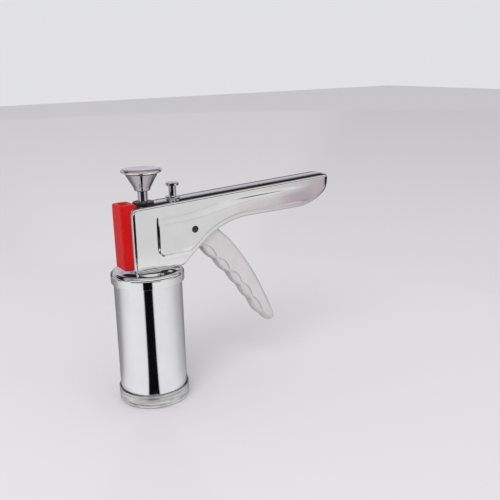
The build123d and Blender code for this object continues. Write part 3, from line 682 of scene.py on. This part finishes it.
def plan_by_heading(plan, centre, headings):
    """Points where the rays at the given headings from the centre cross a plan."""
    closed = np.concatenate([plan, plan[:1]])
    dense = np.concatenate([closed[:-1] + (closed[1:] - closed[:-1]) * k / 8 for k in range(8)])
    away = dense - centre
    heading = np.arctan2(away[:, 1], away[:, 0])
    order = np.argsort(heading)
    radius = np.interp(headings, heading[order], np.hypot(*away.T)[order], period=2 * math.pi)
    return centre + np.stack([np.cos(headings), np.sin(headings)], axis=1) * radius[:, None]


def cover_skin():
    """Red cover: level sections stand one above the other from the foot to the head, the front growing 0.4 mm
    deeper on the way.  Near the head the back follows the round corner of the body and reaches over its top as a
    lip.  The top edge is rounded in five steps, and the top turns down into an oval hole with a low rim."""
    turn = np.radians(np.linspace(-180, 180, 181)[:-1])
    headings = turn + 0.16 * np.sin(2 * turn)
    centre = np.array(COVER_HOLE)
    top = top_height(-10.0)
    heights = [COVER_FOOT, COVER_FOOT + 0.25, COVER_FOOT + 0.7, COVER_FOOT + 1.2]
    insets = [1.2, 0.55, 0.12, 0.0]
    for z in np.concatenate([np.linspace(COVER_FOOT + 3, top - 9, 12), np.linspace(top - 7.5, top - 4.6, 4),
                             top - FRONT_CORNER * np.cos(np.radians(np.linspace(8, 90, 12))),
                             [top + 0.4, COVER_HEAD - 1.6]]):
        heights.append(z)
        insets.append(0.0)
    for a in np.radians((15, 35, 55, 75, 90)):
        heights.append(COVER_HEAD - COVER_EDGE + COVER_EDGE * math.sin(a))
        insets.append(COVER_EDGE - COVER_EDGE * math.cos(a))
    rings = []
    for z, inset in zip(heights, insets):
        share = (z - COVER_FOOT) / (COVER_HEAD - COVER_FOOT)
        rise = np.clip(z - (top - FRONT_CORNER), 0, FRONT_CORNER)
        over = FRONT_CORNER - math.sqrt(FRONT_CORNER ** 2 - rise ** 2) + 0.7 * float(ease((z - top + 1.5) / 2.5))
        pull = 1.2 * float(ease((z - top + 5) / 4))
        plan = rounded_plan(COVER_BACK + over - inset, FRONT_X - 7.6 - 0.4 * share + inset,
                            10.4 - pull - inset, 9.3 + 0.15 * share - inset, max(2.3 - inset * 0.6, 0.8))
        flat = plan_by_heading(plan, centre, headings)
        sag = 0.35 * (1 - abs(share * 2 - 1)) * np.cos(headings) ** 2
        rings.append(np.column_stack([flat + (flat - centre) * -0.01 * sag[:, None], np.full(len(flat), z)]))
    oval = np.stack([np.cos(headings) * COVER_HOLE_X, np.sin(headings) * COVER_HOLE_Y], axis=1)
    wave = 0.10 * np.sin(5 * headings) + 0.08 * np.sin(8 * headings + 1)
    for grow, lift in ((1.32, 0.0), (1.22, 0.12), (1.13, 0.45), (1.05, 0.5), (0.98, 0.35), (0.94, -0.3), (0.92, -1.8),
                       (0.9, -3.6)):
        rings.append(np.column_stack([centre + oval * grow, COVER_HEAD + lift + wave * (lift > 0)]))
    poles = (*COVER_HOLE, COVER_FOOT), (*COVER_HOLE, COVER_HEAD - 3.6)
    piece = loft_piece("cover_skin", rings, poles, "body", red)
    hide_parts("front_cover")
    return piece


# ---- trigger ----
PIVOT = np.array((37.3, FOOT + 27.7))
HUB_R, ARM_R = 9.0, 4.5                 # radii of the rocker's hub and of its arm's tip
ARM_TURN = math.radians(173)            # heading of the rocker's arm in the plane of x and z
GRIP_START = np.array((46.6, 121.0))
GRIP_ALONG = np.array((0.622, -0.783))     # down the grip, in x and z
GRIP_FRONT = np.array((-0.783, -0.622))    # towards the fingers
GRIP_HALF, GRIP_TIP = 8.0, 105.3        # half the grip's width, and the way from its start to the tip
GRIP_NECK, GRIP_MIDDLE = -16, -5.6      # where the skin starts in the hub, and the line that the tip closes on
GRIP_CLOSE, REAR_CLOSE = 98.5, 101.5    # where the front and the rear edge start to round off to the tip
BEAD_ENDS = np.array((0.0, 16.8, 35.0, 52.0, 69.5, 88.5))
RIDGE_ENDS = np.array((-1.7, -2.4, -3.4, -4.5, -3.6, -1.7))
CROWN_ENDS = np.array((1.0, -0.8, -1.9, -1.5, -0.7, 0.9))
RIDGE_BULGE = np.array((2.3, 2.9, 2.7, 2.4, 1.8))
CROWN_BULGE = np.array((1.8, 2.1, 1.9, 1.9, 2.1))
REAR_EDGE = np.array([(-16, -11.5), (-12, -16.4), (-8.7, -18.9), (-3, -19.5), (2.7, -19.7), (14.9, -21.2),
                      (28.5, -21.2), (41.9, -20.4), (57.4, -18.4), (71.4, -15.6), (82.8, -12.9), (90.4, -11.0),
                      (95.7, -9.7), (101.1, -8.5), (106.0, -7.6)])


def smooth_line(at, places, values):
    """Curve through given values: a cubic through each pair with slopes taken from the neighbours."""
    slopes = np.gradient(values, places)
    i = np.clip(np.searchsorted(places, at) - 1, 0, len(places) - 2)
    gap = places[i + 1] - places[i]
    t = np.clip((at - places[i]) / gap, 0, 1)
    return ((2 * t ** 3 - 3 * t ** 2 + 1) * values[i] + (t ** 3 - 2 * t ** 2 + t) * gap * slopes[i]
            + (3 * t ** 2 - 2 * t ** 3) * values[i + 1] + (t ** 3 - t ** 2) * gap * slopes[i + 1])


def bead_line(at, ends, bulges, fullness):
    """Line from cusp to cusp: straight between the beads' ends with an arch of a sine's power over each bead."""
    i = np.clip(np.searchsorted(BEAD_ENDS, at, side="right") - 1, 0, len(bulges) - 1)
    t = np.clip((at - BEAD_ENDS[i]) / (BEAD_ENDS[i + 1] - BEAD_ENDS[i]), 0, 1)
    base = np.interp(at, BEAD_ENDS, ends)
    return base + bulges[i] * np.sin(math.pi * t) ** fullness


def tip_close(at, start, power):
    """Share of the grip's depth that is left towards the tip: the root of one less a power of the way there."""
    way = np.clip(at - start, 0, None) / (GRIP_TIP - start)
    return np.sqrt(np.clip(1 - way ** power, 0, 1))


def finger_grip():
    """Grip of the trigger as one skin of cross sections from the hub to the rounded tip.  The section has a flat
    side, a rear edge rounded by a quarter circle, and in front five beads: the side ends at a small rounded ridge,
    falls into a groove and swells as a rounded quarter out to the crown.  Ridge and crown are rows of arches."""
    beads_end = BEAD_ENDS[-1]
    even = np.linspace(GRIP_NECK, beads_end, 230)
    tip = beads_end + (GRIP_TIP - beads_end) * np.sin(np.linspace(0, math.pi / 2, 34))[1:-1]
    p = np.concatenate([even, tip])
    rear = smooth_line(p, REAR_EDGE[:, 0], REAR_EDGE[:, 1])
    ridge = bead_line(p, RIDGE_ENDS, -RIDGE_BULGE, 0.85)
    crown = bead_line(p, CROWN_ENDS, CROWN_BULGE, 0.7)
    neck = np.clip(-p, 0, None)
    crown = crown + neck * 0.28
    ridge = ridge + neck * 0.28
    last = np.clip((p - beads_end) / (GRIP_TIP - beads_end), 0, 1)
    close = tip_close(p, GRIP_CLOSE, 2.4)
    middle = GRIP_MIDDLE
    rear = middle + (rear - middle) * tip_close(p, REAR_CLOSE, 2.2)
    crown = middle + (crown - 1.6 * last ** 1.5 - middle) * close
    ridge = middle + (ridge - 0.6 * last - middle) * close
    half = GRIP_HALF * (1 - 0.2 * last ** 2) * np.sqrt(np.clip(1 - last ** 7, 0, 1))
    round_r = np.minimum(2.6, np.minimum(half * 0.6, (crown - rear) * 0.4))
    depth = np.clip(crown - ridge, 0.02, None)
    groove = 2.2 * np.clip(depth / 6, 0, 1) * ease(p / 3 + 1) * (1 - last)
    lead = 3.0 * ease((p + 6) / 6) * (1 - last)

    section = []

    def add(y, t, s=0.0):
        """One more point of every section: across, towards the fingers and forward along the grip."""
        section.append([np.broadcast_to(value, p.shape) for value in (y, t, s)])
    for share in (0.0, 0.35, 0.7):
        add(-(half - round_r) * share, rear)
    for a in np.radians(np.linspace(0, 90, 8)):
        add(-(half - round_r + round_r * math.sin(a)), rear + round_r * (1 - math.cos(a)))
    side = rear + round_r
    for share in (0.15, 0.35, 0.6, 0.8, 0.93):
        add(-half, side + (ridge - 0.5 - side) * share)
    for a in np.radians((0, 25, 50, 75)):
        add(-half + 0.45 * (1 - math.cos(a)) * close, ridge - 0.5 + 0.45 * math.sin(a))
    add(-half + 0.9 * close, ridge - groove * 0.4)
    add(-half + 1.15 * close, ridge - groove)
    add(-half + 1.45 * close, ridge - groove * 0.6)
    for a in np.radians((4, 10, 18, 27, 37, 48, 59, 70, 80, 90)):
        swell = (depth + groove * 0.3) * math.sin(a) ** 0.85
        add(-(half - 1.5 * close) * math.cos(a) ** 0.9, ridge - groove * 0.3 + swell, lead * math.sin(a))
    y, t, s = np.moveaxis(section, 0, -1)
    y = np.concatenate([y, -y[:, -2:0:-1]], axis=1)
    t = np.concatenate([t, t[:, -2:0:-1]], axis=1)
    s = np.concatenate([s, s[:, -2:0:-1]], axis=1) + p[:, None]
    place = GRIP_START + s[..., None] * GRIP_ALONG + t[..., None] * GRIP_FRONT
    rings = np.stack([place[..., 0], y, place[..., 1]], axis=-1)
    poles = [GRIP_START + at * GRIP_ALONG + down * GRIP_FRONT for at, down in ((GRIP_NECK, -3.0), (GRIP_TIP, middle))]
    poles = [(pole[0], 0.0, pole[1]) for pole in poles]
    return loft_piece("finger_grip", rings, poles, "trigger", coat)


def rocker_plate(name, reach, y_low, y_high):
    """Flat plate of the rocker: a round about the hinge and a smaller round at the arm's tip, joined by their
    common outline and cut off level on both sides, with a small rounded edge."""
    turn = full_turn(72)
    ray = np.stack([np.cos(turn), np.sin(turn)], axis=1)
    arm = np.array((math.cos(ARM_TURN), math.sin(ARM_TURN)))
    offset = reach * (ray @ arm) + ARM_R > HUB_R
    outline = PIVOT + np.where(offset[:, None], arm * reach + ray * ARM_R, ray * HUB_R)
    rings = []
    for y, grow in ((y_low, 0.95), (y_low + 0.4, 1.0), (y_high - 0.4, 1.0), (y_high, 0.95)):
        flat = PIVOT + (outline - PIVOT) * grow
        rings.append(np.stack([flat[:, 0], np.full(len(flat), y), flat[:, 1]], axis=1))
    middle = PIVOT + arm * reach * 0.4
    poles = (middle[0], y_low, middle[1]), (middle[0], y_high, middle[1])
    return loft_piece(name, rings, poles, "trigger", coat)


def trigger_skin():
    """Trigger from its grip and the rocker on the hinge, whose two cheeks hold the pawl between them."""
    pieces = [finger_grip(), rocker_plate("rocker_cheek_near", 24.0, -8.0, -2.9),
              rocker_plate("rocker_cheek_far", 24.0, 2.9, 8.0), rocker_plate("rocker_web", 4.6, -3.0, 3.0)]
    for piece in pieces:
        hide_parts("trigger_lever")


# ---- hinge pin ----
def hinge_pin():
    """Blackened pin, turned and laid across: a plain shaft with a low domed head against each plate."""
    head = [(0.9, -13.75), (1.6, -13.68), (2.3, -13.5), (2.75, -13.25), (2.95, -13.0), (2.95, -12.85), (2.6, -12.7)]
    profile = head + [(2.6, -4.0), (2.6, 4.0)] + [(r, -y) for r, y in reversed(head)]
    rings = turned_rings(profile, PIN_SIDES)[..., [0, 2, 1]] + (PIVOT[0], 0, PIVOT[1])
    poles = (PIVOT[0], -13.78, PIVOT[1]), (PIVOT[0], 13.78, PIVOT[1])
    piece = loft_piece("hinge_pin", rings, poles, "body", pin_black)
    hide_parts("pivot_pin")


# ---- springs ----
COIL_R = 2.8
END_TURN = 0.8             # share of a turn that lies nearly flat at each end
# heights of each spring's foot and top, and the share of its length that is left when it is pressed
RETURN_FOOT, RETURN_TOP, RETURN_KEEP = 112.52, 130.0, 0.55
LOCK_FOOT, LOCK_TOP, LOCK_KEEP = 148.42, 153.0, 0.42


def coil_spring(name, node, x, foot, top, turns, wire_r):
    """Compression spring: a round wire swept along a helix about the vertical at x, with its first and last
    turns laid nearly flat, so that it stands square between foot and top."""
    along = np.linspace(0, turns, int(turns * 40) + 1)
    low, high = foot + wire_r, top - wire_r
    height = np.interp(along, (0, END_TURN, turns - END_TURN, turns), (low, low + wire_r, high - wire_r, high))
    angle = 2 * math.pi * along
    out = np.stack([np.cos(angle), np.sin(angle), np.zeros(len(angle))], axis=1)
    centre = np.array((x, 0.0, 0.0)) + out * COIL_R + np.array((0, 0, 1.0)) * height[:, None]
    tangent = np.gradient(centre, axis=0)
    tangent /= np.linalg.norm(tangent, axis=1, keepdims=True)
    side = np.cross(tangent, out)
    side /= np.linalg.norm(side, axis=1, keepdims=True)
    around = full_turn(12)
    rings = centre[:, None] + wire_r * (np.cos(around)[:, None] * out[:, None]
                                        + np.sin(around)[:, None] * side[:, None])
    piece = loft_piece(name, rings, (centre[0], centre[-1]), "body", rod_steel)
    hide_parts(node)
    return piece


cap_skin()
ring_skin()
knob_skin()
cover = cover_skin()
trigger_skin()
hinge_pin()
arm_spring = coil_spring("arm_spring", "return_spring", 26.5, RETURN_FOOT, RETURN_TOP, 6, 0.4)
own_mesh(arm_spring)
plate_spring = coil_spring("plate_spring", "lock_spring", 30.0, LOCK_FOOT, LOCK_TOP, 3.5, 0.3)
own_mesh(plate_spring)


# ---- stage and light ----
# angle over the object from the far horizon (0) over the ceiling (90) to the near horizon (180), with its grey
CEILING = [(0, 0.10), (6, 0.14), (12, (0.62, 0.60, 0.65)), (18, (0.60, 0.57, 0.62)), (25, (0.5, 0.48, 0.53)),
           (29, 0.015), (56, 0.015), (63, 0.42), (88, 0.42), (93, 0.02), (103, 0.02), (106, 0.95), (137, 1.0),
           (140, 0.03), (161, 0.03), (166, 0.8), (180, 0.85)]
VIEWER = -121.9            # heading in degrees from +X, on which the floor cards' angle 0 lies
CARD_HEIGHT = 0.0006
CARD_SIDES = 96
# angle from VIEWER, from -180 to 180 degrees, with the grey that a floor card has on that heading
INNER_FLOOR = [(-180, 0.12), (-150, 0.3), (-110, 0.45), (-60, 0.75), (0, 0.92), (60, 0.85), (105, 0.5), (140, 0.1),
               (180, 0.12)]
NEAR_FLOOR = [(-180, 0.30), (-150, 0.24), (-120, 0.30), (-104, 0.40), (-88, 0.72), (-70, 0.88), (-50, 0.95),
              (-12, 0.93), (-7.5, 0.82), (-6, 0.004), (20, 0.004), (21.5, 0.8), (27, 0.92), (60, 0.90), (84, 0.80),
              (104, 0.60), (125, 0.46), (150, 0.28), (180, 0.30)]
FLOOR_START = [(-180, 0.75), (-158, 0.75), (-150, 0.05), (-132, 0.05), (-126, 0.6), (-96, 0.6), (-90, 0.05),
               (-82, 0.05), (-74, 0.85), (-46, 0.9), (-42, 0.008), (46, 0.008)]
FLOOR_END = [(92, (0.40, 0.36, 0.39)), (96, 0.03), (168, 0.03), (172, 0.75), (180, 0.75)]
FAR_FLOOR = [*FLOOR_START, (50, 0.78), (66, 0.78), (70.5, (0.71, 0.68, 0.69)), (73.4, (0.66, 0.60, 0.625)),
             (75.2, (0.58, 0.50, 0.53)), (76.6, (0.46, 0.39, 0.42)), (84, (0.42, 0.37, 0.40)), *FLOOR_END]
OUTER_FLOOR = [*FLOOR_START, (50, 0.80), (66, 0.79), (70.5, (0.73, 0.70, 0.71)), (75.2, (0.62, 0.55, 0.575)),
               (78, (0.47, 0.41, 0.44)), (85, (0.44, 0.39, 0.42)), *FLOOR_END]
# name, inner and outer radius in metres, and greys
FLOOR_CARDS = [("inner_reflections", 0.0, 0.049, INNER_FLOOR), ("near_reflections", 0.049, 0.42, NEAR_FLOOR),
               ("far_reflections", 0.42, 0.63, FAR_FLOOR), ("outer_reflections", 0.63, 3.0, OUTER_FLOOR)]
FLOOR_HALF = 4


def heading_ramp(material, stops):
    """Grey by heading from the barrel's axis: the arctangent of y over x, in degrees from VIEWER."""
    parts = add_node(material, "SeparateXYZ", mapped_place(material, Rotation=(0, 0, -math.radians(VIEWER))))
    angle = add_node(material, "Math", parts.outputs["Y"], parts.outputs["X"], operation="ARCTAN2")
    share = map_range(material, angle.outputs[0], -math.pi, math.pi)
    return colour_ramp(material, share, [((degrees + 180) / 360, grey) for degrees, grey in stops])


def floor_card(name, inner, outer, stops):
    """Flat ring just above the floor that shines its greys and is seen only in reflections."""
    turn = full_turn(CARD_SIDES)
    circle = np.stack([np.cos(turn), np.sin(turn)], axis=1)
    level = np.full(CARD_SIDES, CARD_HEIGHT)
    points = np.concatenate([np.c_[circle * inner, level], np.c_[circle * outer, level]])
    number = np.arange(CARD_SIDES)
    after = (number + 1) % CARD_SIDES
    faces = np.stack([number, number + CARD_SIDES, after + CARD_SIDES, after], axis=1)
    mesh = bpy.data.meshes.new(name)
    mesh.from_pydata(points.tolist(), [], faces.tolist())
    card = add_object(name, mesh)
    material = bpy.data.materials.new(name)
    material.use_nodes = True
    material.node_tree.nodes.clear()
    light = add_node(material, "Emission", Color=heading_ramp(material, stops))
    add_node(material, "OutputMaterial", light.outputs[0])
    mesh.materials.append(material)
    card.visible_camera = card.visible_diffuse = card.visible_shadow = card.visible_transmission = False


def make_floor():
    """Plain pale square under the object."""
    mesh = bpy.data.meshes.new("floor")
    corners = [(x * FLOOR_HALF, y * FLOOR_HALF, 0) for x, y in ((-1, -1), (1, -1), (1, 1), (-1, 1))]
    mesh.from_pydata(corners, [], [(0, 1, 2, 3)])
    floor = add_object("floor", mesh)
    mesh.materials.append(new_material("floor_paper", (0.76, 0.745, 0.75), 0.0, 0.9))


def make_studio():
    """Pale room: even light for everything, and for reflections alone bands of CEILING's greys that run along x.
    A band's angle is the arctangent of the height, taken as positive below the horizon too, over the way along y."""
    world = bpy.data.worlds.new("studio")
    bpy.context.scene.world = world
    world.use_nodes = True
    nodes = world.node_tree.nodes
    plain = nodes["Background"]
    plain.inputs[0].default_value = (0.97, 0.97, 1.0, 1)
    plain.inputs[1].default_value = 0.78
    parts = place_parts(world, "Generated")
    height = add_node(world, "Math", parts.outputs["Z"], operation="ABSOLUTE")
    angle = add_node(world, "Math", height.outputs[0], parts.outputs["Y"], operation="ARCTAN2")
    share = map_range(world, angle.outputs[0], 0.0, math.pi)
    greys = colour_ramp(world, share, [(degrees / 180, grey) for degrees, grey in CEILING])
    mirror = add_node(world, "Background", Color=greys, Strength=1.0)
    glossy = add_node(world, "LightPath").outputs["Is Glossy Ray"]
    mix = add_node(world, "MixShader", glossy, plain.outputs[0], mirror.outputs[0])
    world.node_tree.links.new(mix.outputs[0], nodes["World Output"].inputs[0])


def make_softbox(name, place, aim, side, power):
    """Square white lamp at a place, turned towards its aim, that isn't mirrored in the object."""
    data = bpy.data.lights.new(name, "AREA")
    data.shape = "RECTANGLE"
    data.size = data.size_y = side
    data.energy = power
    lamp = add_object(name, data)
    turn = (Vector(aim) - Vector(place)).to_track_quat("-Z", "Y")
    lamp.matrix_world = Matrix.Translation(place) @ turn.to_matrix().to_4x4()
    lamp.visible_glossy = lamp.visible_camera = False


make_floor()
for card in FLOOR_CARDS:
    floor_card(*card)
make_studio()
make_softbox("key", (-1.0, -1.0, 1.5), (0.03, 0, 0.1), 1.2, 17)
cover.visible_glossy = False    # the steel beside it shows no red
make_camera()
bpy.context.scene.view_settings.view_transform = "Standard"
